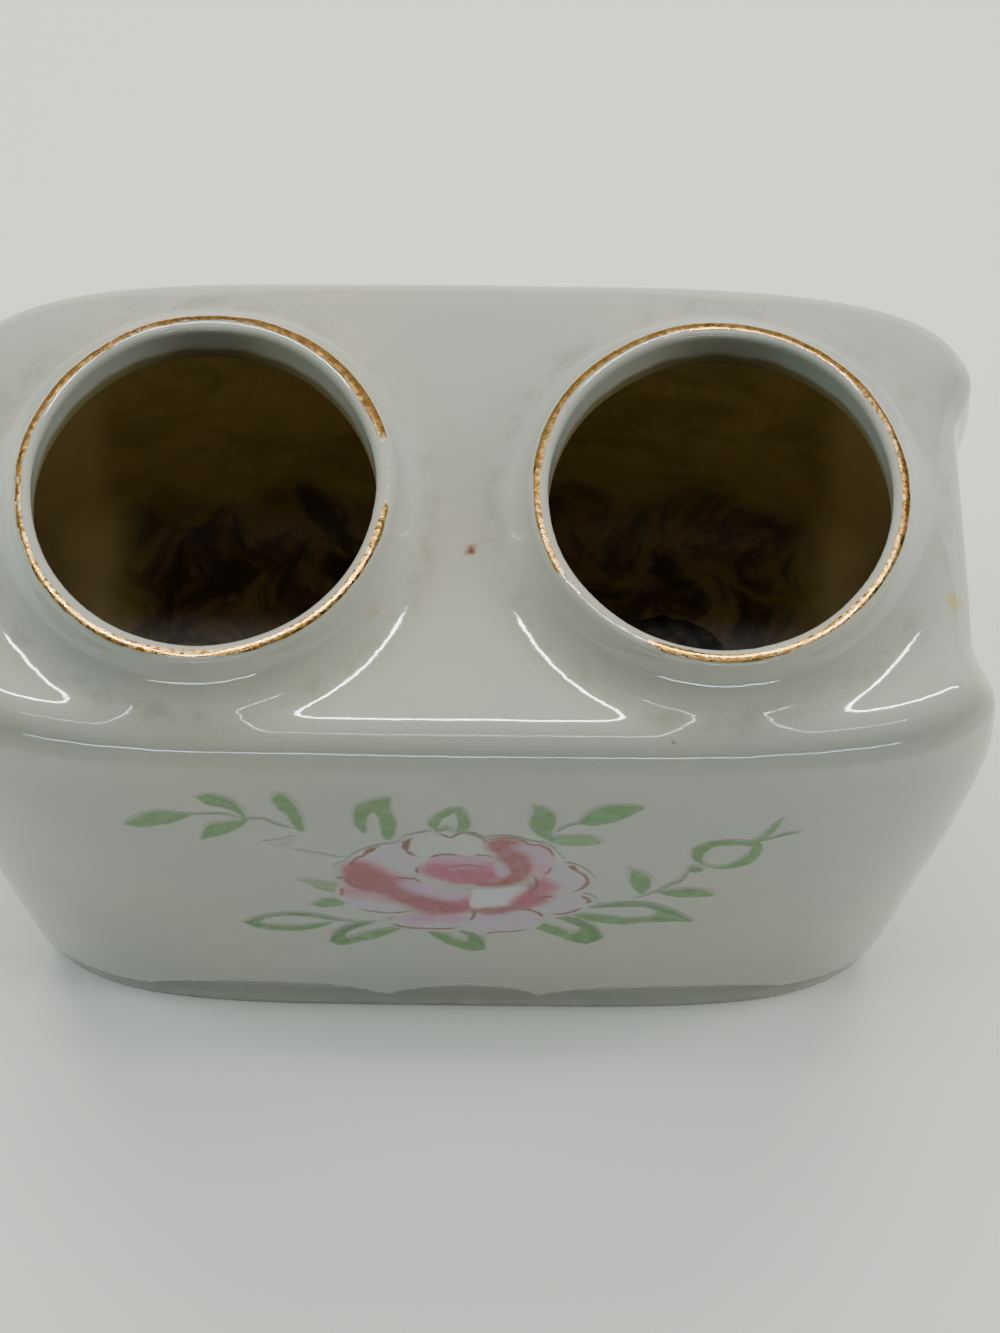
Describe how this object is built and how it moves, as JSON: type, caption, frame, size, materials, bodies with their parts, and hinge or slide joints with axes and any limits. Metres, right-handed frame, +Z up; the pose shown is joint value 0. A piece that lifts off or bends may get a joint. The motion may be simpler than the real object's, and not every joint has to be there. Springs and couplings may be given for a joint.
{
  "type": "double inkwell",
  "caption": "Glazed porcelain double inkwell: a box-like body with drawn-in ends, round gilt-lined necks on its deck, a scalloped skirt and a painted rose spray on the front.",
  "frame": {"origin": "centre of the foot, on the surface that the inkwell stands on", "axes": "+X along the two wells, +Y from the painted front to the back, +Z up"},
  "size_m": [0.1144, 0.0614, 0.0795],
  "materials": {
    "porcelain": "gloss",
    "biscuit": "matte",
    "gilding": "worn gloss",
    "dried_ink": "matte",
    "pink_enamel": "satin",
    "green_enamel": "satin"
  },
  "bodies": {
    "root": {"body_walls": "porcelain", "deck": "porcelain", "left_neck": "porcelain", "right_neck": "porcelain", "well_floor": "porcelain", "well_divider": "porcelain", "foot_ring": "biscuit", "left_gilt_band": "gilding", "right_gilt_band": "gilding", "left_ink_residue": "dried_ink", "right_ink_residue": "dried_ink", "rose_enamel": "pink_enamel", "leaf_enamel": "green_enamel"}
  },
  "joints": []
}
